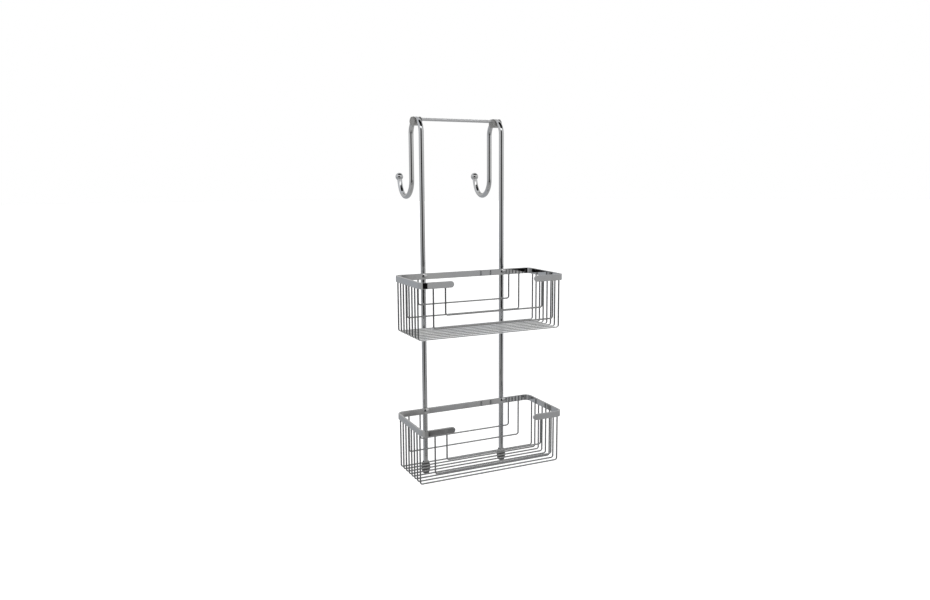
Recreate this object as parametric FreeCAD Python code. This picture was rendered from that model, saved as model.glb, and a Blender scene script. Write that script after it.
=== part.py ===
import FreeCAD, Part
import math
import os

# Two-tier shower caddy that hangs over the top edge of a glass screen.
# Millimetres. X runs along the baskets, Y from the baskets towards the towel hooks, Z up.
# The origin is on the top edge of the glass, in the middle of its thickness, midway between the hooks.

# Rods
POST_DIA = 10.0
POST_SPACING = 175.0
BEND_RADIUS = 27.0
PAD_UNDER_BEND = 7.0
HOOK_DROP = 90.0
HOOK_RADIUS = 33.5
HOOK_SWEEP = 154.0
TAIL_RADIUS = 70.0
TAIL_SWEEP = 9.0
HOOK_TAIL = 12.0
BALL_DIA = 16.0
BALL_SEAT = 2.0
CROSSBAR_DIA = 6.0

# Saddles on the glass
SADDLE_CHEEK = 3.4
SADDLE_DEPTH = 26.0
SADDLE_HEIGHT = 16.5
SADDLE_FLAT = 13.0
SADDLE_CHAMFER = 6.0
SADDLE_EDGE = 1.0

# Baskets
RIM_TOP_BELOW_GLASS = 288.0
TIER_PITCH = 275.0
BASKET_LENGTH = 303.0
BASKET_DEPTH = 138.0
RIM_HEIGHT = 12.0
RIM_THICK = 4.0
RIM_CORNER = 14.0
RIM_EDGE = 0.6
FRONT_STUB = 67.0
WIRE_DIA = 3.0
WIRE_BEND = 4.5
FLOOR_WIRES = 8
FLOOR_WIRE_PITCH = 14.6
FLOOR_DROP = 108.0
DEEP_DROP = 86.0
DEEP_INSET = 26.0
SHALLOW_DROP = 62.0
SHALLOW_INSET = 50.0

# Screws that hold the rims
SCREW_DIA = 4.0
SCREW_IN_POST = 7.5
SCREW_HEAD_DIA = 11.6
SCREW_HEAD_HEIGHT = 1.5

# Rubber bumpers on the lower post ends
POST_BELOW_FLOOR = 27.0
BUMPER_LENGTH = 25.0
BUMPER_DIA = 18.5
BUMPER_BELLY_HEIGHT = 11.25
BUMPER_FLOOR = 4.0
BUMPER_NECK_DIA = 12.6
BUMPER_NECK = 2.0
BUMPER_FOOT_DIA = 13.6

# Clearances
SEAT_GAP = 0.1
SCREW_GAP = 0.1
SLEEVE_GAP = 0.05

POST_R = POST_DIA / 2
WIRE_R = WIRE_DIA / 2
BAR_AXIS_Z = PAD_UNDER_BEND + POST_R
BEND_Z = BAR_AXIS_Z - BEND_RADIUS
HOOK_Z = BEND_Z - HOOK_DROP
POST_Y = -BEND_RADIUS
RIM_BACK_Y = POST_Y - POST_R - SEAT_GAP
RIM_FRONT_Y = RIM_BACK_Y - BASKET_DEPTH
BASKET_MID_Y = (RIM_BACK_Y + RIM_FRONT_Y) / 2
TIERS = {"upper": -RIM_TOP_BELOW_GLASS, "lower": -RIM_TOP_BELOW_GLASS - TIER_PITCH}
SIDES = {"left": -POST_SPACING / 2, "right": POST_SPACING / 2}
POST_BOTTOM = TIERS["lower"] - FLOOR_DROP - POST_BELOW_FLOOR
BUMPER_BOTTOM = POST_BOTTOM - BUMPER_FLOOR

V = FreeCAD.Vector
AXIS_X = V(1, 0, 0)
AXIS_Y = V(0, 1, 0)
AXIS_Z = V(0, 0, 1)


def save(name, shape):
    """Write one node as a STEP file."""
    shape.exportStep("parts/" + name + ".step")


def group(shapes):
    """Separate solids that share one node."""
    return Part.makeCompound(shapes)


def rod_along(path, diameter):
    """Round rod whose centre line is the wire `path`."""
    first = path.OrderedEdges[0]
    start = path.OrderedVertexes[0].Point
    heading = first.tangentAt(first.FirstParameter)
    section = Part.Wire([Part.Circle(start, heading, diameter / 2).toShape()])
    return path.makePipeShell([section], True, False)


def arc_point(x, centre_y, centre_z, radius, degrees):
    """Point on a circle in a plane across X; the angle is from +Y towards +Z."""
    angle = math.radians(degrees)
    return V(x, centre_y + radius * math.cos(angle), centre_z + radius * math.sin(angle))


def arc_edge(x, centre_y, centre_z, radius, start, end):
    """Arc in a plane across X, between two angles."""
    stops = [start, (start + end) / 2, end]
    points = [arc_point(x, centre_y, centre_z, radius, stop) for stop in stops]
    return Part.Arc(*points).toShape()


def line_edge(start, end):
    return Part.LineSegment(start, end).toShape()


def tail_circle():
    """Centre, in Y and Z, of the wide arc that carries on from the towel hook's arc with no kink."""
    reach = HOOK_RADIUS - TAIL_RADIUS
    middle = arc_point(0, BEND_RADIUS + HOOK_RADIUS, HOOK_Z, reach, 180 + HOOK_SWEEP)
    return middle.y, middle.z


def hook_end(x):
    """Where the towel hook's arcs end, and the direction its straight tail takes."""
    end_angle = 180.0 + HOOK_SWEEP + TAIL_SWEEP
    point = arc_point(x, *tail_circle(), TAIL_RADIUS, end_angle)
    heading = V(0, -math.sin(math.radians(end_angle)), math.cos(math.radians(end_angle)))
    return point, heading


def post_path(x):
    """Centre line: up the post, over the glass, down the hook leg and round the towel hook."""
    tail_start, heading = hook_end(x)
    tail_end = tail_start + heading * (HOOK_TAIL - BALL_SEAT)
    post_top = V(x, POST_Y, BEND_Z)
    leg_top = V(x, BEND_RADIUS, BEND_Z)
    leg_bottom = V(x, BEND_RADIUS, HOOK_Z)
    hook_stop = 180 + HOOK_SWEEP
    edges = [
        line_edge(V(x, POST_Y, POST_BOTTOM), post_top),
        arc_edge(x, 0, BEND_Z, BEND_RADIUS, 180, 0),
        line_edge(leg_top, leg_bottom),
        arc_edge(x, BEND_RADIUS + HOOK_RADIUS, HOOK_Z, HOOK_RADIUS, 180, hook_stop),
        arc_edge(x, *tail_circle(), TAIL_RADIUS, hook_stop, hook_stop + TAIL_SWEEP),
        line_edge(tail_start, tail_end),
    ]
    return Part.Wire(edges)


def screw_height(rim_top):
    return rim_top - RIM_HEIGHT / 2


def post(x):
    """Bent rod with a blind threaded hole in front for each rim screw."""
    rod = rod_along(post_path(x), POST_DIA)
    hole_depth = SCREW_IN_POST + SCREW_GAP
    for rim_top in TIERS.values():
        mouth = V(x, POST_Y - POST_R - SEAT_GAP, screw_height(rim_top))
        hole = Part.makeCylinder(SCREW_DIA / 2 + SLEEVE_GAP, hole_depth + SEAT_GAP, mouth, AXIS_Y)
        rod = rod.cut(hole)
    return rod


def hook_ball(x):
    """Ball with a blind socket that the end of the hook sits in."""
    tail_start, heading = hook_end(x)
    centre = tail_start + heading * HOOK_TAIL
    ball = Part.makeSphere(BALL_DIA / 2, centre)
    seat = centre - heading * BALL_SEAT
    socket = Part.makeCylinder(POST_R + SLEEVE_GAP, BALL_DIA, seat, heading * -1)
    return ball.cut(socket)


def crossbar():
    """Bar between the two bends, with its ends coped to the rods."""
    bar = Part.makeCylinder(CROSSBAR_DIA / 2, POST_SPACING, V(SIDES["left"], 0, BAR_AXIS_Z), AXIS_X)
    for x in SIDES.values():
        bend = Part.Wire([arc_edge(x, 0, BEND_Z, BEND_RADIUS, 180, 0)])
        bar = bar.cut(rod_along(bend, POST_DIA + 2 * SLEEVE_GAP))
    return bar


def saddle(x):
    """Block across the bend: flat under side on the glass, a cheek on each side of the rod."""
    top = SADDLE_HEIGHT
    half = SADDLE_DEPTH / 2
    flat = SADDLE_FLAT / 2
    width = POST_DIA + 2 * (SADDLE_CHEEK + SLEEVE_GAP)
    west = x - width / 2
    outline = [(-flat, 0), (flat, 0), (half, SADDLE_CHAMFER), (half, top - SADDLE_CHAMFER),
               (flat, top), (-flat, top), (-half, top - SADDLE_CHAMFER), (-half, SADDLE_CHAMFER)]
    corners = [V(west, y, z) for y, z in outline]
    block = Part.Face(Part.makePolygon(corners + corners[:1])).extrude(AXIS_X * width)
    upper_edges = [edge for edge in block.Edges if edge.BoundBox.ZMax > SEAT_GAP]
    block = block.makeFillet(SADDLE_EDGE, upper_edges)
    bend = Part.Wire([arc_edge(x, 0, BEND_Z, BEND_RADIUS, 180, 0)])
    rod_space = rod_along(bend, POST_DIA + 2 * SLEEVE_GAP)
    slot_width = POST_DIA + 2 * SLEEVE_GAP
    corner = V(x - slot_width / 2, -SADDLE_DEPTH, 0)
    slot = Part.makeBox(slot_width, 2 * SADDLE_DEPTH, SADDLE_HEIGHT, corner)
    slot.translate(V(0, 0, BAR_AXIS_Z))
    inner_cheek = V(x, 0, BAR_AXIS_Z)
    towards_middle = AXIS_X if x < 0 else AXIS_X * -1
    bar_space = Part.makeCylinder(CROSSBAR_DIA / 2 + SLEEVE_GAP, width, inner_cheek, towards_middle)
    return block.cut(rod_space).cut(slot).cut(bar_space)


def bumper(x):
    """Rubber barrel with a blind bore for the end of the post."""
    bottom = V(x, POST_Y, BUMPER_BOTTOM)
    foot = V(BUMPER_FOOT_DIA / 2, 0, 0)
    belly = V(BUMPER_DIA / 2, 0, BUMPER_BELLY_HEIGHT)
    shoulder = V(BUMPER_NECK_DIA / 2, 0, BUMPER_LENGTH - BUMPER_NECK)
    neck = V(BUMPER_NECK_DIA / 2, 0, BUMPER_LENGTH)
    edges = [
        line_edge(V(0, 0, 0), foot),
        Part.Arc(foot, belly, shoulder).toShape(),
        line_edge(shoulder, neck),
        line_edge(neck, V(0, 0, BUMPER_LENGTH)),
        line_edge(V(0, 0, BUMPER_LENGTH), V(0, 0, 0)),
    ]
    barrel = Part.Face(Part.Wire(edges)).revolve(V(0, 0, 0), AXIS_Z, 360)
    bore = Part.makeCylinder(POST_R + SLEEVE_GAP, BUMPER_LENGTH, V(0, 0, BUMPER_FLOOR), AXIS_Z)
    sleeve = barrel.cut(bore)
    sleeve.translate(bottom)
    return sleeve


def rounded_block(length, depth, height, radius, mid_y, bottom):
    """Upright block with rounded vertical corners, centred on X = 0 and Y = mid_y."""
    block = Part.makeBox(length, depth, height, V(-length / 2, mid_y - depth / 2, bottom))
    upright = [edge for edge in block.Edges if edge.BoundBox.ZLength > height / 2]
    return block.makeFillet(radius, upright)


def stub_end_waste(side, rim_top):
    """What is cut away to round the end of a front stub as seen from in front."""
    half = RIM_HEIGHT / 2
    tip = side * (BASKET_LENGTH / 2 - FRONT_STUB)
    centre = V(tip + side * half, RIM_FRONT_Y - RIM_THICK, rim_top - half)
    reach = 3 * RIM_THICK
    corner = V(min(tip, tip + side * half), centre.y, rim_top - RIM_HEIGHT)
    block = Part.makeBox(half, reach, RIM_HEIGHT, corner)
    return block.cut(Part.makeCylinder(half, reach, centre, AXIS_Y))


def rim(rim_top):
    """Flat-bar rim: back, two ends and two front stubs, with a hole for each screw."""
    bottom = rim_top - RIM_HEIGHT
    outer = rounded_block(BASKET_LENGTH, BASKET_DEPTH, RIM_HEIGHT, RIM_CORNER, BASKET_MID_Y, bottom)
    inner_length = BASKET_LENGTH - 2 * RIM_THICK
    inner_depth = BASKET_DEPTH - 2 * RIM_THICK
    inner_corner = RIM_CORNER - RIM_THICK
    inner = rounded_block(inner_length, inner_depth, RIM_HEIGHT, inner_corner, BASKET_MID_Y, bottom)
    gap_width = BASKET_LENGTH - 2 * FRONT_STUB
    gap_corner = V(-gap_width / 2, RIM_FRONT_Y - RIM_THICK, bottom)
    gap = Part.makeBox(gap_width, 3 * RIM_THICK, RIM_HEIGHT, gap_corner)
    bar = outer.cut(inner).cut(gap)
    for side in (-1, 1):
        bar = bar.cut(stub_end_waste(side, rim_top))
    long_edges = [edge for edge in bar.Edges if is_long_edge(edge)]
    bar = bar.makeFillet(RIM_EDGE, long_edges)
    for x in SIDES.values():
        start = V(x, RIM_BACK_Y - 2 * RIM_THICK, screw_height(rim_top))
        hole = Part.makeCylinder(SCREW_DIA / 2 + SCREW_GAP, 3 * RIM_THICK, start, AXIS_Y)
        bar = bar.cut(hole)
    return bar


def is_long_edge(edge):
    """True for the edges along the bar and round its ends, not for seams across it."""
    box = edge.BoundBox
    if box.ZLength < RIM_EDGE:
        middle = edge.valueAt((edge.FirstParameter + edge.LastParameter) / 2)
        round_end_starts = BASKET_LENGTH / 2 - FRONT_STUB + RIM_HEIGHT / 2
        near_stub_tip = abs(middle.x) < round_end_starts + RIM_EDGE
        crosses_bar = box.YLength > RIM_THICK / 2 and box.XLength < RIM_EDGE
        return not (crosses_bar and near_stub_tip)
    return box.YLength < RIM_EDGE and box.XLength > RIM_EDGE


def screw(x, rim_top):
    """Screw through the rim into the post. Its head is a low smooth dome, cut from a ball."""
    dome_r = ((SCREW_HEAD_DIA / 2) ** 2 + SCREW_HEAD_HEIGHT**2) / (2 * SCREW_HEAD_HEIGHT)
    ball = Part.makeSphere(dome_r, V(0, 0, SCREW_HEAD_HEIGHT - dome_r))
    head = ball.common(Part.makeCylinder(SCREW_HEAD_DIA / 2, SCREW_HEAD_HEIGHT))
    shank_length = RIM_THICK + SEAT_GAP + SCREW_IN_POST
    shank = Part.makeCylinder(SCREW_DIA / 2, shank_length, V(0, 0, 0), AXIS_Z * -1)
    fastener = head.fuse(shank).removeSplitter()
    fastener.rotate(V(0, 0, 0), AXIS_X, 90)
    fastener.translate(V(x, RIM_BACK_Y - RIM_THICK, screw_height(rim_top)))
    return fastener


def u_wire(span, drop, y, rim_top):
    """Wire bent to a U across X, hanging from the under side of the rim."""
    x = span / 2
    top = rim_top - RIM_HEIGHT
    low = rim_top - drop
    bend = WIRE_BEND
    slack = bend * (1 - math.sqrt(0.5))
    left_arc = Part.Arc(V(-x, y, low + bend), V(-x + slack, y, low + slack), V(-x + bend, y, low))
    right_arc = Part.Arc(V(x - bend, y, low), V(x - slack, y, low + slack), V(x, y, low + bend))
    edges = [
        line_edge(V(-x, y, top), V(-x, y, low + bend)),
        left_arc.toShape(),
        line_edge(V(-x + bend, y, low), V(x - bend, y, low)),
        right_arc.toShape(),
        line_edge(V(x, y, low + bend), V(x, y, top)),
    ]
    return rod_along(Part.Wire(edges), WIRE_DIA)


def save_basket(tier, rim_top):
    """All the pieces of one basket."""
    save(tier + "_rim", rim(rim_top))
    save(tier + "_rim_screws", group([screw(x, rim_top) for x in SIDES.values()]))
    floor_span = BASKET_LENGTH - RIM_THICK
    for index in range(FLOOR_WIRES):
        y = BASKET_MID_Y + ((FLOOR_WIRES - 1) / 2 - index) * FLOOR_WIRE_PITCH
        name = tier + "_floor_wire_" + str(index + 1)
        save(name, u_wire(floor_span, FLOOR_DROP, y, rim_top))
    deep_span = BASKET_LENGTH - 2 * DEEP_INSET
    shallow_span = BASKET_LENGTH - 2 * SHALLOW_INSET
    walls = {"back": RIM_BACK_Y - RIM_THICK / 2, "front": RIM_FRONT_Y + RIM_THICK / 2}
    for wall, y in walls.items():
        save(tier + "_" + wall + "_wire_deep", u_wire(deep_span, DEEP_DROP, y, rim_top))
        save(tier + "_" + wall + "_wire_shallow", u_wire(shallow_span, SHALLOW_DROP, y, rim_top))


os.makedirs("parts", exist_ok=True)
for side, post_x in SIDES.items():
    save(side + "_post", post(post_x))
    save(side + "_hook_ball", hook_ball(post_x))
    save(side + "_glass_saddle", saddle(post_x))
    save(side + "_glass_bumper", bumper(post_x))
save("crossbar", crossbar())
for tier, tier_top in TIERS.items():
    save_basket(tier, tier_top)
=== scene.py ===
"""Two-tier chrome shower caddy that hangs over a glass screen: looks, light and camera.

Everything is in metres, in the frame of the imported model: X along the baskets, Y from the baskets
towards the towel hooks, Z up, with the origin on the top edge of the glass.
"""
import math

import bmesh
import bpy
import numpy as np
from mathutils import Matrix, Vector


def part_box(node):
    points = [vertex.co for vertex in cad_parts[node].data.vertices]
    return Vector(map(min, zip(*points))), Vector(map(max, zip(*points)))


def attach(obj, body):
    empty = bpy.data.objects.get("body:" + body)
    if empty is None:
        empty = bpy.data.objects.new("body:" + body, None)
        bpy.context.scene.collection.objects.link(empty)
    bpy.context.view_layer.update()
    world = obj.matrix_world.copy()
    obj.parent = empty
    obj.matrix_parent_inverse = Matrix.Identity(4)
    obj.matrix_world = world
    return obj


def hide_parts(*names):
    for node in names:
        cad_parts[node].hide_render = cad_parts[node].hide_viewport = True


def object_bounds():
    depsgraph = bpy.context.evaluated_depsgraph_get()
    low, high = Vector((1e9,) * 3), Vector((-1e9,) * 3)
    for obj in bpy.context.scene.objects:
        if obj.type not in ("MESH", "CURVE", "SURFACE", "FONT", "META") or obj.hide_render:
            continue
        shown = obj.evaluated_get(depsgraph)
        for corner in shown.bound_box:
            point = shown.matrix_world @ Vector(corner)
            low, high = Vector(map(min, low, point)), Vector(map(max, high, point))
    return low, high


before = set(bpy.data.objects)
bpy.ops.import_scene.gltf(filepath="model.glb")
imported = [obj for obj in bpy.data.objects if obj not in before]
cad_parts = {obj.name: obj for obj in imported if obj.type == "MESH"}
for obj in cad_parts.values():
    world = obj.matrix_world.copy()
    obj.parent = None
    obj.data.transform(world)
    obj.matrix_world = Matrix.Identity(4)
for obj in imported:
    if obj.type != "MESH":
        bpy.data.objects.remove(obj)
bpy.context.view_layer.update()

MM = 0.001
QUARTER = math.pi / 2
SIDES = ("left", "right")
TIERS = ("upper", "lower")

# Rods and hooks
POST_R = 5.0 * MM
BEND_R = 27.0 * MM
HOOK_DROP = 90.0 * MM
HOOK_R = 33.5 * MM
HOOK_SWEEP = math.radians(154.0)
TAIL_R = 70.0 * MM
TAIL_SWEEP = math.radians(9.0)
HOOK_TAIL = 12.0 * MM
BALL_R = 7.99 * MM
CROSSBAR_R = 3.0 * MM
SNUG = 0.05 * MM

# The brazed neck under a hook's ball: how far it stands out from the rod at the ball, at its waist and
# at its foot, and how far the waist and the foot lie from the ball's edge
NECK_TOP = 0.7 * MM
NECK_WAIST = 0.25 * MM
NECK_FOOT = 0.02 * MM
NECK_WAIST_DOWN = 0.45 * MM
NECK_FOOT_DOWN = 1.1 * MM

# Saddles
CHEEK_THICK = 3.4 * MM
SADDLE_FLAT = 6.5 * MM
SADDLE_CHAMFER = 6.0 * MM
SADDLE_ROUND = 4.5 * MM
SADDLE_EASE = 0.7 * MM
WEB_HALF = 10.4 * MM
WEB_LAP = 0.1 * MM
WEB_UP = 0.05 * MM
WEB_CHAMFER_UP = 0.3 * MM

# Baskets
WIRE_R = 1.5 * MM
WIRE_BEND_R = 4.5 * MM
RIM_THICK = 4.0 * MM
RIM_CORNER_R = 12.0 * MM
RIM_EASE = 0.7 * MM
FRONT_STUB = 67.0 * MM
FLAT_EDGE = 0.3 * MM
FLOOR_WIRES = 8

# Rubber bumpers
BUMPER_FOOT_R = 6.8 * MM
BUMPER_FOOT_EASE = 0.9 * MM
BUMPER_BELLY_UP = 11.25 * MM
BUMPER_NECK_R = 6.3 * MM
BUMPER_NECK = 2.0 * MM

# Flares of braze and weld, from the end of the bar inwards: (way along the bar, growth of its radius)
CROSSBAR_BRAZE = [(0.0, 0.0), (3.6 * MM, 0.0), (3.7 * MM, 0.6 * MM), (4.0 * MM, 0.5 * MM)]
CROSSBAR_BRAZE += [(4.5 * MM, 0.2 * MM), (5.2 * MM, 0.0)]
WIRE_WELD = [(-0.3 * MM, 0.4 * MM), (0.15 * MM, 0.4 * MM), (0.5 * MM, 0.18 * MM)]
WIRE_WELD += [(1.0 * MM, 0.05 * MM), (1.5 * MM, 0.0)]

# Facets round each bar or turned shape, and the turn from one ring to the next along a bend
POST_FACETS = 64
BALL_FACETS = 48
CROSSBAR_FACETS = 40
BUMPER_FACETS = 64
SCREW_FACETS = 48
WIRE_FACETS = 28
FLOOR_FACETS = 96
ARC_STEP = math.radians(4.0)

# Points closer than this are joined into one
SAME_POINT = 1e-7

AXIS_X = np.array([1.0, 0.0, 0.0])
AXIS_Y = np.array([0.0, 1.0, 0.0])
AXIS_Z = np.array([0.0, 0.0, 1.0])

# Patterns on the chrome: repeats per metre, the span of the noise over which a pattern comes in, and how
# much of it shows at most
DRIFT_SCALE, DRIFT_SPAN = 9.0, (0.35, 0.65)
LINE_SCALE = 2600.0
HAZE_SCALE, HAZE_SPAN, HAZE_SHARE = 55.0, (0.5, 0.72), 0.20
PIT_SCALE, PIT_SPAN, PIT_SHARE = 900.0, (0.70, 0.80), 0.20
WAVE_SCALE = 60.0
# Heights of the normal over which the chrome's painted top light comes in
PAINTED_TOP_LIGHT_SPAN = (0.15, 0.60)

# Patterns on plastic and rubber, in the same way
BLOTCH_SCALE = 120.0
GRAIN_SPAN, GRAIN_SHARE = (0.42, 0.7), 0.2
DUST_SCALE, DUST_SPAN = 400.0, (0.35, 1.5)

# Camera
CAMERA_PLACE = (-0.6518, -1.4200, -0.1142)
CAMERA_HEADING = math.radians(25.207)
CAMERA_PITCH = math.radians(8.655)
CAMERA_ROLL = math.radians(-0.334)
CAMERA_LENS = 29.47

# Room and floor. Chrome gives back this share of the light that falls on it
CHROME_SHARE = 0.62
DISPLAY_GAMMA = 2.2
PANEL_LIGHT = 2.2
FLOOR_R = 40.0
FLOOR_THICK = 0.01
FLOOR_BELOW = 0.30


def centre(node):
    """Middle of a node's box, as an array."""
    low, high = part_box(node)
    return np.array((low + high) / 2)


# ---------------------------------------------------------------- shells
class Shell:
    """Closed surfaces gathered from grids of points, to be made into one piece."""

    def __init__(self):
        self.points = []
        self.faces = []
        self.count = 0

    def add(self, grid):
        """A grid of rows by columns, each row a ring that closes on itself. The first and last rows are
        closed with a fan to their middle, which is a flat cap, or nothing where the row is one point."""
        rows, columns = grid.shape[:2]
        row, column = np.meshgrid(np.arange(rows - 1), np.arange(columns), indexing="ij")
        beside = (column + 1) % columns
        corners = [row * columns + column, row * columns + beside]
        corners += [(row + 1) * columns + beside, (row + 1) * columns + column]
        faces = np.stack(corners, -1).reshape(-1, 4)
        ring = np.arange(columns)
        following = np.roll(ring, -1)
        middle = np.full(columns, rows * columns)
        last = (rows - 1) * columns
        first_fan = np.stack([middle, following, ring], -1)
        last_fan = np.stack([middle + 1, last + ring, last + following], -1)
        self.points += [grid.reshape(-1, 3), grid[0].mean(0)[None], grid[-1].mean(0)[None]]
        self.faces += (faces + self.count).tolist()
        self.faces += (np.concatenate([first_fan, last_fan]) + self.count).tolist()
        self.count += rows * columns + 2
        return self

    def piece(self, name, crisp=35.0):
        """The mesh object. Points that coincide are joined, faces point outwards, and an edge that turns
        by more than `crisp` degrees stays sharp."""
        mesh = bpy.data.meshes.new(name)
        mesh.from_pydata(np.concatenate(self.points), [], self.faces)
        work = bmesh.new()
        work.from_mesh(mesh)
        bmesh.ops.remove_doubles(work, verts=work.verts, dist=SAME_POINT)
        bmesh.ops.dissolve_degenerate(work, edges=work.edges, dist=SAME_POINT)
        bmesh.ops.recalc_face_normals(work, faces=work.faces)
        for face in work.faces:
            face.smooth = True
        for edge in work.edges:
            edge.smooth = edge.calc_face_angle(0.0) < math.radians(crisp)
        work.to_mesh(mesh)
        work.free()
        piece = bpy.data.objects.new(name, mesh)
        bpy.context.scene.collection.objects.link(piece)
        return piece


class Path:
    """Centre line in a plane: straight runs (length, 0) and arcs (radius, turn), laid end to end.

    On a run the point moves along the heading. On an arc the point is the centre plus the radius times
    the outward normal, and the heading turns evenly. A run also has a point `near` each of its ends."""

    def __init__(self, origin, across, up, heading, moves, near=1.5 * MM):
        points, angles = [np.zeros(2)], [heading]
        for size, turn in moves:
            here, angle = points[-1], angles[-1]
            if turn == 0:
                ahead = np.array([math.cos(angle), math.sin(angle)])
                points += [here + ahead * reach for reach in (near, size - near, size)]
                angles += [angle] * 3
                continue
            side = math.copysign(size, turn)
            middle = here + side * np.array([-math.sin(angle), math.cos(angle)])
            steps = max(3, math.ceil(abs(turn) / ARC_STEP))
            for now in angle + turn * np.arange(1, steps + 1) / steps:
                points.append(middle + side * np.array([math.sin(now), -math.cos(now)]))
                angles.append(now)
        flat, angles = np.array(points), np.array(angles)[:, None]
        self.points = np.asarray(origin) + flat[:, :1] * across + flat[:, 1:] * up
        self.ahead = np.cos(angles) * across + np.sin(angles) * up
        self.normal = -np.sin(angles) * across + np.cos(angles) * up
        self.binormal = np.cross(across, up)

    def rings(self, rows, pairs, shift=0.0):
        """Rings of (n, b) pairs at the given rows: point + n * normal + b * binormal + shift * heading."""
        base = self.points[rows] + np.reshape(shift, (-1, 1)) * self.ahead[rows]
        sideways = pairs[..., :1] * self.normal[rows][:, None]
        return base[:, None] + sideways + pairs[..., 1:] * self.binormal


def circle(sides):
    """Points (cos t, sin t) of a unit circle, with t stepping once round."""
    angle = np.linspace(0.0, 2 * math.pi, sides, endpoint=False)
    return np.stack([np.cos(angle), np.sin(angle)], -1)


def rod(path, radius, sides, start=((0.0, 0.0),), end=((0.0, 0.0),)):
    """Grid of a round bar: circles of the radius, square to the path. `start` and `end` are (way in from
    the end, growth of the radius) pairs, which make the flare of a weld."""
    count = len(path.points)
    between = range(1, count - 1)
    rows = [0] * len(start) + list(between) + [count - 1] * len(end)
    shift = [way for way, grow in start] + [0.0 for row in between]
    shift += [-way for way, grow in reversed(end)]
    growth = [grow for way, grow in start] + [0.0 for row in between]
    growth += [grow for way, grow in reversed(end)]
    radii = radius + np.array(growth)
    return path.rings(rows, radii[:, None, None] * circle(sides), shift)


def revolved(profile, foot, axis, sides):
    """Grid of a turned shape: each (radius, height) of the profile becomes a ring round the axis."""
    axis = np.asarray(axis) / np.linalg.norm(axis)
    side = np.cross(axis, AXIS_X if abs(axis[0]) < 0.9 else AXIS_Y)
    side /= np.linalg.norm(side)
    other = np.cross(axis, side)
    radius, height = np.array(profile).T
    ring = circle(sides)
    spokes = ring[:, :1] * side + ring[:, 1:] * other
    return foot + radius[:, None, None] * spokes + height[:, None, None] * axis


def arc_through(a, b, c, steps):
    """Points of the circular arc from a through b to c, ends included. The circle's centre is where the
    perpendicular bisectors of ab and bc meet."""
    a, b, c = np.array(a), np.array(b), np.array(c)
    lines = np.array([b - a, c - b])
    middle = np.linalg.solve(lines, [(b - a) @ (a + b) / 2, (c - b) @ (b + c) / 2])
    angles = np.unwrap([math.atan2(*(point - middle)[::-1]) for point in (a, b, c)])
    sweep = np.linspace(angles[0], angles[2], steps)
    reach = np.linalg.norm(a - middle)
    return (middle + reach * np.stack([np.cos(sweep), np.sin(sweep)], -1)).tolist()


def rounded_outline(corners, radius, inset, steps=6):
    """Outline of a convex polygon with rounded corners, anticlockwise, drawn `inset` inside itself.
    Each corner's arc keeps its centre, and its radius is the corner radius less the inset."""
    corners = np.array(corners)
    before, after = np.roll(corners, 1, 0) - corners, np.roll(corners, -1, 0) - corners
    before /= np.linalg.norm(before, axis=1)[:, None]
    after /= np.linalg.norm(after, axis=1)[:, None]
    half = np.arccos(np.clip((before * after).sum(1), -1, 1)) / 2
    inward = (before + after) / np.linalg.norm(before + after, axis=1)[:, None]
    centres = corners + inward * (radius / np.sin(half))[:, None]
    spread = (QUARTER - half)[:, None] * np.linspace(-1.0, 1.0, steps)
    angle = np.arctan2(-inward[:, 1], -inward[:, 0])[:, None] + spread
    arcs = centres[:, None] + (radius - inset) * np.stack([np.cos(angle), np.sin(angle)], -1)
    return arcs.reshape(-1, 2)


def plate(corners, radius, low, high, ease, steps=5):
    """Grid of a plate with eased edges, from x = low to x = high. At the edge the outline draws in by
    ease * (1 - cos t) while x moves by ease * (1 - sin t)."""
    turn = np.linspace(QUARTER, 0.0, steps)
    edge = list(zip(ease * (1 - np.sin(turn)), ease * (1 - np.cos(turn))))
    rows = [(low, ease + FLAT_EDGE)] + [(low + step, draw) for step, draw in edge]
    rows += [(high - step, draw) for step, draw in reversed(edge)] + [(high, ease + FLAT_EDGE)]
    rings = []
    for x, draw in rows:
        outline = rounded_outline(corners, radius, draw)
        rings.append(np.column_stack([np.full(len(outline), x), outline]))
    return np.array(rings)


# ---------------------------------------------------------------- rods, hooks and saddles
def post_path(side):
    """Up the post, half round over the glass, down the hook's leg, round the towel hook, and along its
    tail, which is a slack arc and a straight tip."""
    low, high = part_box(side + "_post")
    bar = centre("crossbar")
    bottom = np.array([(low.x + high.x) / 2, bar[1] - BEND_R, low.z])
    rise = bar[2] - BEND_R - low.z
    moves = [(rise, 0), (BEND_R, -math.pi), (HOOK_DROP, 0)]
    moves += [(HOOK_R, HOOK_SWEEP), (TAIL_R, TAIL_SWEEP), (HOOK_TAIL, 0)]
    return Path(bottom, AXIS_Y, AXIS_Z, QUARTER, moves)


def make_post(side):
    """One round bar from the bumper to the towel hook's ball: circles along the post's path."""
    bar = rod(post_path(side), POST_R, POST_FACETS)
    return Shell().add(bar).piece(side + "_chrome_post")


def make_hook_ball(side):
    """Ball with a small neck where it is brazed to the rod. The ball is r * (sin t, cos t) turned round
    the rod's axis. The neck is a hollow curve from the ball's surface down to the rod's."""
    path = post_path(side)
    tip, ahead = path.points[-1], path.ahead[-1]
    meet = math.asin((POST_R + NECK_TOP) / BALL_R)
    polar = np.linspace(0.0, math.pi - meet, 40)
    profile = np.stack([BALL_R * np.sin(polar), BALL_R * np.cos(polar)], -1).tolist()
    top = profile[-1]
    waist = (POST_R + NECK_WAIST, top[1] - NECK_WAIST_DOWN)
    foot = (POST_R + NECK_FOOT, top[1] - NECK_FOOT_DOWN)
    profile += arc_through(top, waist, foot, 6)[1:]
    shell = Shell().add(revolved(profile, tip, ahead, BALL_FACETS))
    return shell.piece(side + "_hook_ball_bright", crisp=50.0)


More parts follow.
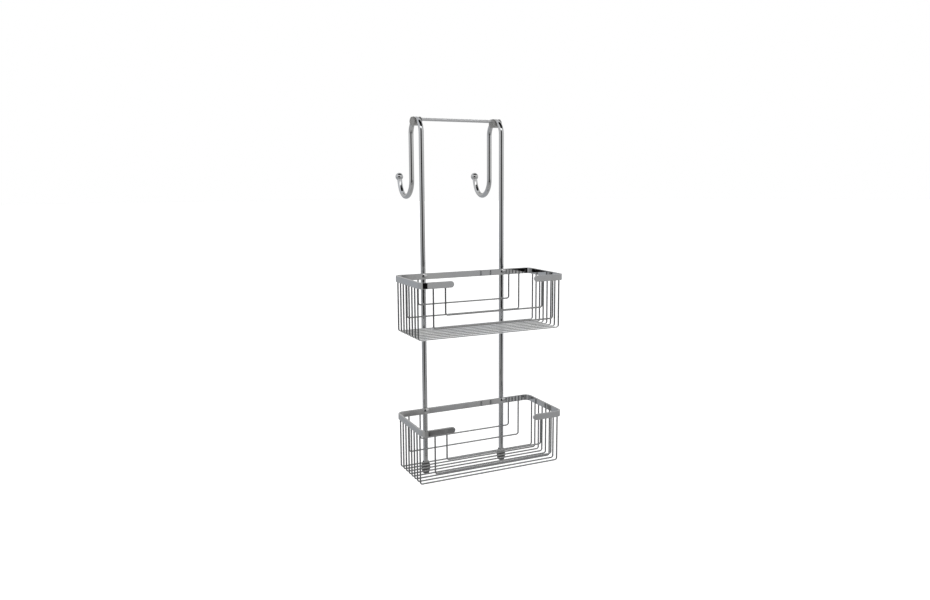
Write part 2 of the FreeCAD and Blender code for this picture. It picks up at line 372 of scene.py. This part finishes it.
def make_crossbar():
    """Bar between the saddles, each end flared where it is brazed in: circles along a straight path."""
    low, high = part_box("crossbar")
    bar = centre("crossbar")
    start = (low.x, bar[1], bar[2])
    path = Path(start, AXIS_X, AXIS_Z, 0.0, [(high.x - low.x, 0)], near=8 * MM)
    grid = rod(path, CROSSBAR_R, CROSSBAR_FACETS, CROSSBAR_BRAZE, CROSSBAR_BRAZE)
    return Shell().add(grid).piece("bright_crossbar")


def make_saddle(side):
    """Grey block on the glass: a cheek on each side of the rod and a web under it.

    The web's top follows the rod: z = bend centre + sqrt((R - sqrt(r^2 - x^2))^2 - y^2). Its under side
    is flat and slopes up with the cheeks' chamfers."""
    low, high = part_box(side + "_glass_saddle")
    mid = centre(side + "_glass_saddle")
    half = (high.y - low.y) / 2
    flat, chamfer, top = SADDLE_FLAT, SADDLE_CHAMFER, high.z
    corners = [(-flat, 0.0), (flat, 0.0), (half, chamfer), (half, top - chamfer)]
    corners += [(flat, top), (-flat, top), (-half, top - chamfer), (-half, chamfer)]
    shell = Shell()
    shell.add(plate(corners, SADDLE_ROUND, low.x, low.x + CHEEK_THICK, SADDLE_EASE))
    shell.add(plate(corners, SADDLE_ROUND, high.x - CHEEK_THICK, high.x, SADDLE_EASE))
    web = high.x - low.x - 2 * CHEEK_THICK + 2 * WEB_LAP
    across = np.linspace(-1.0, 1.0, 17) * web / 2
    along = np.linspace(-WEB_HALF, WEB_HALF, 25)[:, None]
    rod_drop = np.sqrt(np.maximum((POST_R + SNUG)**2 - across**2, 0.0))
    bend_z = centre("crossbar")[2] - BEND_R
    over = bend_z + np.sqrt((BEND_R - rod_drop)**2 - along**2)
    slope = (np.abs(along) - flat) * chamfer / (half - flat)
    under = np.maximum(WEB_UP, slope + WEB_CHAMFER_UP)
    x, y, over, under = np.broadcast_arrays(mid[0] + across, along, over, under)
    sheets = [np.stack([x, y, height], -1) for height in (under, over)]
    shell.add(np.concatenate([sheets[0], sheets[1][:, ::-1]], 1))
    return shell.piece(side + "_saddle_block")


def make_bumper(side):
    """Rubber barrel with a rounded foot and a collar round the post. Its profile, turned round the post,
    is a chain of arcs: the foot's edge, the belly, the groove under the collar and the collar's lip."""
    low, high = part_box(side + "_glass_bumper")
    mid = centre(side + "_glass_bumper")
    tall, belly = high.z - low.z, (high.x - low.x) / 2
    shoulder = tall - BUMPER_NECK

    def collar(height, out, up):
        """A point `out` and `up` millimetres from the collar's side at a height."""
        return BUMPER_NECK_R + out * MM, height + up * MM

    ease = BUMPER_FOOT_EASE
    foot = [(BUMPER_FOOT_R - ease, 0.0), (BUMPER_FOOT_R - 0.25 * ease, 0.28 * ease)]
    foot += [(BUMPER_FOOT_R + 0.15 * ease, ease)]
    crown = collar(shoulder, 1.0, -0.9)
    groove = [crown, collar(shoulder, 0.4, -0.25), collar(shoulder, -0.3, 0.0)]
    lip = [collar(tall, 0.0, -0.5), collar(tall, -0.15, -0.15), collar(tall, -0.5, 0.0)]
    profile = [(0.0, 0.0)] + arc_through(*foot, 6)
    profile += arc_through(foot[-1], (belly, BUMPER_BELLY_UP), crown, 30)[1:]
    profile += arc_through(*groove, 6)[1:]
    profile += [collar(shoulder, -0.3, 0.3), collar(shoulder, 0.0, 0.5)]
    profile += arc_through(*lip, 5)
    profile += [(POST_R + SNUG, tall), (POST_R - 0.5 * MM, tall - 1.0 * MM)]
    shell = Shell().add(revolved(profile, (mid[0], mid[1], low.z), AXIS_Z, BUMPER_FACETS))
    return shell.piece(side + "_rubber_bumper")


# ---------------------------------------------------------------- baskets
def make_rim(tier):
    """Flat bar bent round the basket, with eased edges and half-round ends.

    Its section is a rectangle with rounded corners. Past the end of the path the section folds like a
    closing book, (q, n) going to q * sin(a) ahead and q * cos(a) up, which makes the half-round end."""
    low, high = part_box(tier + "_rim")
    length, depth, height = high.x - low.x, high.y - low.y, high.z - low.z
    half_t = RIM_THICK / 2
    stub = FRONT_STUB - height / 2
    straight = stub - half_t - RIM_CORNER_R
    side_run = depth - RIM_THICK - 2 * RIM_CORNER_R
    back_run = length - RIM_THICK - 2 * RIM_CORNER_R
    bend = (RIM_CORNER_R, -QUARTER)
    moves = [(straight, 0), bend, (side_run, 0), bend, (back_run, 0)]
    moves += [bend, (side_run, 0), bend, (straight, 0)]
    start = (-(high.x - stub), low.y + half_t, (low.z + high.z) / 2)
    path = Path(start, AXIS_X, AXIS_Y, math.pi, moves)
    turn = np.linspace(0.0, QUARTER, 5)
    down = np.concatenate([[RIM_EASE + FLAT_EDGE], RIM_EASE * (1 - np.sin(turn)), [0.0]])
    corner = np.stack([half_t - down[::-1], height / 2 - down], -1)
    quarters = [corner, corner[::-1] * (-1, 1), corner * (-1, -1), corner[::-1] * (1, -1)]
    section = np.concatenate(quarters)
    count = len(path.points)
    body = path.rings(np.arange(count), np.broadcast_to(section, (count,) + section.shape))
    n, q = section[:, :1], section[:, 1:]
    folds = np.linspace(0.0, QUARTER, 13)[1:]
    ends = []
    for row, outward in ((0, -1.0), (count - 1, 1.0)):
        flat = path.points[row] + n * path.normal[row]
        reach = outward * path.ahead[row]
        fold = [flat + np.abs(q) * math.sin(a) * reach + q * math.cos(a) * AXIS_Z for a in folds]
        ends.append(fold)
    grid = np.concatenate([ends[0][::-1], body, ends[1]])
    return Shell().add(grid).piece(tier + "_chrome_rim", crisp=50.0)


def make_rim_screws(tier):
    """Low smooth domes on the inside of the back bar. A dome of height h on a disc of radius r is part of
    a ball of radius (r^2 + h^2) / 2h."""
    low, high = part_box(tier + "_rim_screws")
    seat_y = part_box(tier + "_rim")[1].y - RIM_THICK
    tall, head_r = seat_y - low.y, (high.z - low.z) / 2
    ball_r = (head_r**2 + tall**2) / (2 * tall)
    polar = np.linspace(0.0, math.asin(head_r / ball_r), 16)
    profile = np.column_stack([ball_r * np.sin(polar), tall - ball_r * (1 - np.cos(polar))])
    shell = Shell()
    for side in SIDES:
        foot = (centre(side + "_post")[0], seat_y, (low.z + high.z) / 2)
        shell.add(revolved(profile, foot, -AXIS_Y, SCREW_FACETS))
    return shell.piece(tier + "_domed_screws")


def make_wire(node):
    """Wire bent to a U and welded to the under side of the rim, with a small flare at each weld: circles
    along a path that runs down, across and up again."""
    low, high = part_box(node)
    y = (low.y + high.y) / 2
    x, drop = (high.x - low.x) / 2 - WIRE_R, high.z - low.z - WIRE_R
    down, across = drop - WIRE_BEND_R, 2 * (x - WIRE_BEND_R)
    bend = (WIRE_BEND_R, QUARTER)
    moves = [(down, 0), bend, (across, 0), bend, (down, 0)]
    path = Path((-x, y, high.z), AXIS_X, AXIS_Z, -QUARTER, moves, near=2.0 * MM)
    grid = rod(path, WIRE_R, WIRE_FACETS, WIRE_WELD, WIRE_WELD)
    return Shell().add(grid).piece(node + "_drawn")


# ---------------------------------------------------------------- shader maths
class Socket:
    """An output socket on which + - * / and powers add Math nodes."""

    def __init__(self, finish, output):
        self.finish = finish
        self.output = output

    def __add__(self, other):
        return self.finish.maths("ADD", self, other)

    __radd__ = __add__

    def __sub__(self, other):
        return self.finish.maths("SUBTRACT", self, other)

    def __rsub__(self, other):
        return self.finish.maths("SUBTRACT", other, self)

    def __mul__(self, other):
        return self.finish.maths("MULTIPLY", self, other)

    __rmul__ = __mul__

    def __truediv__(self, other):
        return self.finish.maths("DIVIDE", self, other)

    def __pow__(self, other):
        return self.finish.maths("POWER", self, other)


class Finish:
    """A node tree under construction, with one method that adds any node."""

    def __init__(self, tree):
        self.tree = tree
        self.tree.nodes.clear()

    def node(self, kind, settings, *values, out=0, **named):
        """Adds a node: settings first, then its sockets by place or by name."""
        node = self.tree.nodes.new(kind)
        for key, value in settings.items():
            if key == "stops":
                self.set_stops(node.color_ramp, value)
            else:
                setattr(node, key, value)
        for index, value in enumerate(values):
            self.feed(node.inputs[index], value)
        for key, value in named.items():
            self.feed(node.inputs[key.replace("_", " ")], value)
        return Socket(self, node.outputs[out]) if node.outputs else None

    def feed(self, socket, value):
        if isinstance(value, Socket):
            self.tree.links.new(value.output, socket)
        else:
            socket.default_value = value

    @staticmethod
    def set_stops(ramp, stops):
        while len(ramp.elements) < len(stops):
            ramp.elements.new(1.0)
        for element, (place, colour) in zip(ramp.elements, stops):
            element.position = place
            element.color = colour

    def maths(self, kind, *terms):
        return self.node("ShaderNodeMath", {"operation": kind}, *terms)

    def noise(self, where, scale, detail=2.0, roughness=0.5):
        settings = {"Vector": where, "Scale": scale, "Detail": detail, "Roughness": roughness}
        return self.node("ShaderNodeTexNoise", {}, **settings)

    def ramp(self, value, low, high):
        """0 at `low` and 1 at `high`, with a smooth rise between them."""
        settings = {"clamp": True, "interpolation_type": "SMOOTHSTEP"}
        return self.node("ShaderNodeMapRange", settings, value, low, high)

    def facing_up(self):
        """How far a surface faces up: the height of its normal, from -1 to 1."""
        normal = self.node("ShaderNodeNewGeometry", {}, out=1)
        return self.node("ShaderNodeSeparateXYZ", {}, normal, out=2)

    def blend(self, factor, a, b, how="MIX"):
        """Mix of two colours. The colour sockets of a Mix node are its third pair."""
        node = self.tree.nodes.new("ShaderNodeMix")
        node.data_type, node.blend_type = "RGBA", how
        for index, value in ((0, factor), (6, a), (7, b)):
            self.feed(node.inputs[index], value)
        return Socket(self, node.outputs[2])

    def shader(self, **sockets):
        """A Principled surface, with its named sockets, goes to the output."""
        surface = self.node("ShaderNodeBsdfPrincipled", {}, **sockets)
        self.node("ShaderNodeOutputMaterial", {}, surface)


def grey(value, tint=(1.0, 1.0, 1.0)):
    """Colour of an even brightness, times a tint."""
    return (value * tint[0], value * tint[1], value * tint[2], 1.0)


def new_finish(name):
    """A material's node tree, and its object coordinates in metres."""
    material = bpy.data.materials.new(name)
    material.use_nodes = True
    finish = Finish(material.node_tree)
    return material, finish, finish.node("ShaderNodeTexCoord", {}, out=3)


def metal(name, bright, top, dust_and_painted_sheen, rough, haze, grain, polish, ways=1):
    """Chrome plate, from `bright` at its sides to a painted top light of `top` where it faces up. There a
    pale painted sheen takes the given share of the plate's mirror, and also where it faces down if `ways`
    is 2.

    The brightness drifts with the thickness of the plate, haze dulls it in soft patches with small pits,
    and polishing leaves fine lines drawn out along the axis that `polish` shortens."""
    material, finish, where = new_finish(name)
    drift = finish.noise(where, DRIFT_SCALE, 3.0)
    drawn = finish.node("ShaderNodeMapping", {"vector_type": "POINT"}, where, Scale=polish)
    lines = finish.noise(drawn, LINE_SCALE, 2.0, 0.6)
    patches = finish.ramp(finish.noise(where, HAZE_SCALE, 5.0, 0.62), *HAZE_SPAN)
    pits = finish.ramp(finish.noise(where, PIT_SCALE, 1.0), *PIT_SPAN)
    # Painted top light: where the plate faces up, and also down if ways is 2, its colour goes from the
    # side brightness to the lighter top brightness
    upper = finish.ramp(finish.facing_up()**ways, *[edge**ways for edge in PAINTED_TOP_LIGHT_SPAN])
    plate_with_painted_top_light = finish.blend(upper, grey(bright), grey(top))
    cool, warm = grey(0.97, (0.985, 1.0, 1.02)), grey(1.0, (1.0, 1.0, 0.99))
    tint = finish.blend(finish.ramp(drift, *DRIFT_SPAN), cool, warm)
    clean = finish.blend(1.0, plate_with_painted_top_light, tint, "MULTIPLY")
    dulled = finish.blend(patches * HAZE_SHARE, clean, grey(bright * 0.8, (1.0, 0.99, 0.97)))
    colour = finish.blend(pits * PIT_SHARE, dulled, grey(bright * 0.5))
    roughness = rough + lines * grain + patches * haze + pits * 0.12
    waves = finish.noise(where, WAVE_SCALE, 1.0) * 0.8 + lines * 0.006 + pits * -0.01
    normal = finish.node("ShaderNodeBump", {}, Strength=0.07, Distance=0.0006, Height=waves)
    # Painted sheen: on those same faces the plate loses that share of its mirror, so its lighter painted
    # colour shows
    mirror_less_painted_sheen = 1.0 - upper * dust_and_painted_sheen
    finish.shader(Base_Color=colour, Metallic=mirror_less_painted_sheen, Roughness=roughness, Normal=normal)
    return material


def moulded(name, dark, light, rough, grain_scale, grain_depth, dust):
    """Moulded plastic or rubber: a fine spark-eroded grain, slow colour drift and a layer of dust or
    limescale that gathers on what faces up."""
    material, finish, where = new_finish(name)
    drift = finish.noise(where, BLOTCH_SCALE, 4.0, 0.6)
    grain = finish.noise(where, grain_scale, 3.0, 0.7)
    settled = finish.facing_up() + finish.noise(where, DUST_SCALE, 4.0, 0.65) * 0.9
    dust_and_painted_sheen = finish.ramp(settled, *DUST_SPAN)
    base = finish.blend(finish.ramp(drift, *DRIFT_SPAN), dark, light)
    speckled = finish.blend(finish.ramp(grain, *GRAIN_SPAN) * GRAIN_SHARE, base, light)
    colour = finish.blend(dust_and_painted_sheen * dust, speckled, grey(0.42, (1.0, 0.985, 0.96)))
    roughness = rough + grain * 0.14 + dust_and_painted_sheen * 0.1
    relief = grain + drift * 0.5
    normal = finish.node("ShaderNodeBump", {}, Strength=0.22, Distance=grain_depth, Height=relief)
    finish.shader(Base_Color=colour, Roughness=roughness, Normal=normal)
    return material


# ---------------------------------------------------------------- assembly
# Metals: brightness at the sides and painted top light, share of painted sheen, roughness, haze, grain of
# the polish, its axis. The upper basket's floor wires get stronger painted light on top and underneath
# than the other wires.
# Mouldings: darkest and lightest colour, roughness, grain's scale and depth, dust.
ALONG_X, ALONG_Z = (0.05, 1.0, 1.0), (1.0, 1.0, 0.04)
materials = {
    "post_chrome": metal("bright chrome rod", 0.62, 0.62, 0.0, 0.03, 0.07, 0.03, ALONG_Z),
    "bar_satin": metal("satin chrome bar with painted top light", 0.72, 0.90, 0.75, 0.30, 0.04, 0.05, (0.04, 1.0, 1.0)),
    "rim_chrome": metal("bright chrome flat bar", 0.60, 0.60, 0.0, 0.04, 0.07, 0.03, (0.06, 0.06, 1.0)),
    "floor_wire_painted_light": metal("chrome wire with painted light top and bottom", 0.32, 0.95, 0.90, 0.07, 0.05, 0.03, ALONG_X, 2),
    "wire_chrome": metal("chrome wire with painted top light", 0.30, 0.60, 0.40, 0.07, 0.05, 0.03, ALONG_X),
    "screw_chrome": metal("polished screw", 0.58, 0.58, 0.0, 0.10, 0.08, 0.05, (1.0, 0.05, 1.0)),
    "saddle_grey": moulded("satin grey saddle", grey(0.20, (1.0, 0.99, 0.95)),
                           grey(0.25, (1.0, 0.99, 0.96)), 0.42, 2600.0, 0.00008, 0.22),
    "bumper_rubber": moulded("dark rubber", grey(0.026), grey(0.042), 0.55, 3200.0, 0.00007, 0.16),
}


def finish_piece(piece, node, slot, finish=None):
    """The piece stands for the node, rides with the caddy and wears its slot's finish, or another one
    where that is named."""
    piece.data.materials.append(materials[finish or slot])
    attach(piece, "root")
    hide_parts(node)


for side in SIDES:
    finish_piece(make_post(side), side + "_post", "post_chrome")
    finish_piece(make_hook_ball(side), side + "_hook_ball", "post_chrome")
    finish_piece(make_saddle(side), side + "_glass_saddle", "saddle_grey")
    finish_piece(make_bumper(side), side + "_glass_bumper", "bumper_rubber")
finish_piece(make_crossbar(), "crossbar", "bar_satin")
for tier in TIERS:
    finish_piece(make_rim(tier), tier + "_rim", "rim_chrome")
    finish_piece(make_rim_screws(tier), tier + "_rim_screws", "screw_chrome")
    wires = ["floor_wire_" + str(number) for number in range(1, FLOOR_WIRES + 1)]
    wires += [wall + "_wire_" + depth for wall in ("back", "front") for depth in ("deep", "shallow")]
    for wire in wires:
        node = tier + "_" + wire
        # The upper floor wires take the finish with painted light on their tops and undersides
        finish = "floor_wire_painted_light" if node.startswith("upper_floor") else "wire_chrome"
        finish_piece(make_wire(node), node, "wire_chrome", finish)


# ---------------------------------------------------------------- camera
def aim_camera(place, heading, pitch, roll, lens):
    """Camera whose heading turns from +Y towards +X, with its nose `pitch` below the horizon."""
    level = math.cos(pitch)
    ahead = np.array([math.sin(heading) * level, math.cos(heading) * level, -math.sin(pitch)])
    right = np.array([math.cos(heading), -math.sin(heading), 0.0])
    up = np.cross(right, ahead)
    lean, rise = math.sin(roll), math.cos(roll)
    right, up = right * rise + up * lean, up * rise - right * lean
    data = bpy.data.cameras.new("camera")
    data.lens = lens
    camera = bpy.data.objects.new("camera", data)
    turned = Matrix(np.column_stack([right, up, -ahead])).to_4x4()
    camera.matrix_world = Matrix.Translation(place) @ turned
    bpy.context.scene.collection.objects.link(camera)
    bpy.context.scene.camera = camera


aim_camera(CAMERA_PLACE, CAMERA_HEADING, CAMERA_PITCH, CAMERA_ROLL, CAMERA_LENS)


# ---------------------------------------------------------------- light
def tone(level):
    """Colour of a part of the studio that chrome shows as this display level, from 0 to 255."""
    return grey((level / 255) ** DISPLAY_GAMMA / CHROME_SHARE)


# The room's level by height, from straight down to straight up, in degrees
ROOM = [(-90, 150), (-24, 150), (-18, 144), (-13, 144), (-9, 150), (-4, 154), (0, 170)]
ROOM += [(4, 184), (40, 186), (90, 186)]

# The room's cool side: heading, half width and fade in degrees, then its tint
COOL_SIDE, COOL_TINT = (335, 60, 60), (0.97, 1.0, 1.045)

# Patches of the room, each laid over those before it: (heading, half width, fade), (lowest, highest,
# fade) and colour
PATCHES = [
    ((191, 38, 10), (-30, -17, 2), tone(122)),  # darker floor at the camera's foot
    ((158, 8, 3), (-18.9, -17.2, 0.5), tone(94)),  # its edge
    ((165.2, 7.6, 1), (-19.6, -18.4, 0.6), tone(20)),  # a dark line along that edge
    ((25, 70, 60), (-2, 60, 8), tone(164)),  # dimmer wall behind the caddy
    ((204, 23, 5), (-16, 28, 5), tone(24)),  # the dark gap that the camera stands in
    ((204, 28, 5), (-3, 28, 5), tone(24)),  # the gap is wider higher up
    ((194.75, 35.25, 2), (-12, -5, 4), tone(20)),  # and has arms near its foot
    ((200, 36, 8), (34, 43, 3), grey(PANEL_LIGHT)),  # white panel over the gap
]

# The dark gap overhead, on a ceiling one unit up: west, east, south, north
OVERHEAD = (-0.70, 1.25, -0.92, 0.22)
OVERHEAD_LEVEL = 24


class Studio(Finish):
    """World light that depends on direction: the height above the horizon and the heading, which turns
    from +Y towards +X, both in degrees."""

    def __init__(self, tree):
        super().__init__(tree)
        direction = self.node("ShaderNodeTexCoord", {})
        parts = [self.node("ShaderNodeSeparateXYZ", {}, direction, out=axis) for axis in range(3)]
        self.x, self.y, self.z = parts
        self.height = self.maths("ARCSINE", self.z) * math.degrees(1.0)
        self.level = self.maths("SQRT", self.x**2 + self.y**2) + 1e-4

    def within(self, value, low, high, soft):
        """1 between two limits, fading to 0 over `soft` at each."""
        rise = self.ramp(value, low - soft / 2, low + soft / 2)
        return rise * self.ramp(value, high + soft / 2, high - soft / 2)

    def sector(self, middle, half, soft):
        """1 within `half` of a heading, fading to 0 over `soft`: the cosine of the angle between the two
        is compared with those of the edges."""
        turn = math.radians(middle)
        near = (self.x * math.sin(turn) + self.y * math.cos(turn)) / self.level
        edges = [math.cos(math.radians(half + way * soft / 2)) for way in (1, -1)]
        return self.ramp(near, *edges)

    def belt(self, low, high, soft):
        """1 between two heights, fading to 0 over `soft` at each."""
        return self.within(self.height, low, high, soft)

    def opening(self, west, east, south, north, soft=0.08):
        """1 inside a rectangle on the ceiling, one unit up: the direction is divided by its height."""
        up = self.maths("MAXIMUM", self.z, 1e-3)
        inside = self.ramp(self.z, 0.0, 0.1)
        for along, low, high in ((self.x / up, west, east), (self.y / up, south, north)):
            inside = inside * self.within(along, low, high, soft)
        return inside

    def levels(self, stops):
        """Grey that follows the height, from (height, level) pairs."""
        place = self.height * (1 / 180) + 0.5
        ramp = [((height + 90) / 180, tone(level)) for height, level in stops]
        return self.node("ShaderNodeValToRGB", {"stops": ramp}, place)


def light_studio():
    """Soft grey room, paler above the horizon and cooler on one side, with its patches and the gap
    overhead. The camera itself sees plain white behind the caddy."""
    world = bpy.data.worlds.new("studio")
    bpy.context.scene.world = world
    world.use_nodes = True
    studio = Studio(world.node_tree)
    room = studio.levels(ROOM)
    side = studio.sector(*COOL_SIDE)
    shade = studio.blend(side, room, studio.blend(1.0, room, grey(1.0, COOL_TINT), "MULTIPLY"))
    for sector, belt, colour in PATCHES:
        shade = studio.blend(studio.sector(*sector) * studio.belt(*belt), shade, colour)
    shade = studio.blend(studio.opening(*OVERHEAD), shade, tone(OVERHEAD_LEVEL))
    camera_ray = studio.node("ShaderNodeLightPath", {})
    seen = studio.node("ShaderNodeBackground", {}, grey(1.0), 1.0)
    around = studio.node("ShaderNodeBackground", {}, shade, 1.0)
    mixed = studio.node("ShaderNodeMixShader", {}, camera_ray, around, seen)
    studio.node("ShaderNodeOutputWorld", {}, mixed)
    bpy.context.scene.view_settings.view_transform = "Standard"


def lay_floor():
    """Wide pale disc well below the caddy, which hangs. It is a turned rectangle that glows evenly, and
    the chrome doesn't mirror it."""
    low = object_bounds()[0].z - FLOOR_BELOW
    profile = [(0.0, -FLOOR_THICK), (FLOOR_R, -FLOOR_THICK), (FLOOR_R, 0.0), (0.0, 0.0)]
    shell = Shell().add(revolved(profile, (0.0, 0.0, low), AXIS_Z, FLOOR_FACETS))
    floor = shell.piece("floor", crisp=50.0)
    material, finish, where = new_finish("pale floor")
    colour = finish.blend(finish.noise(where, 0.8, 3.0), grey(0.84), grey(0.88))
    glow = {"Emission_Color": grey(1.0), "Emission_Strength": 0.75}
    finish.shader(Base_Color=colour, Roughness=0.8, **glow)
    floor.data.materials.append(material)
    floor.visible_glossy = False


lay_floor()
light_studio()
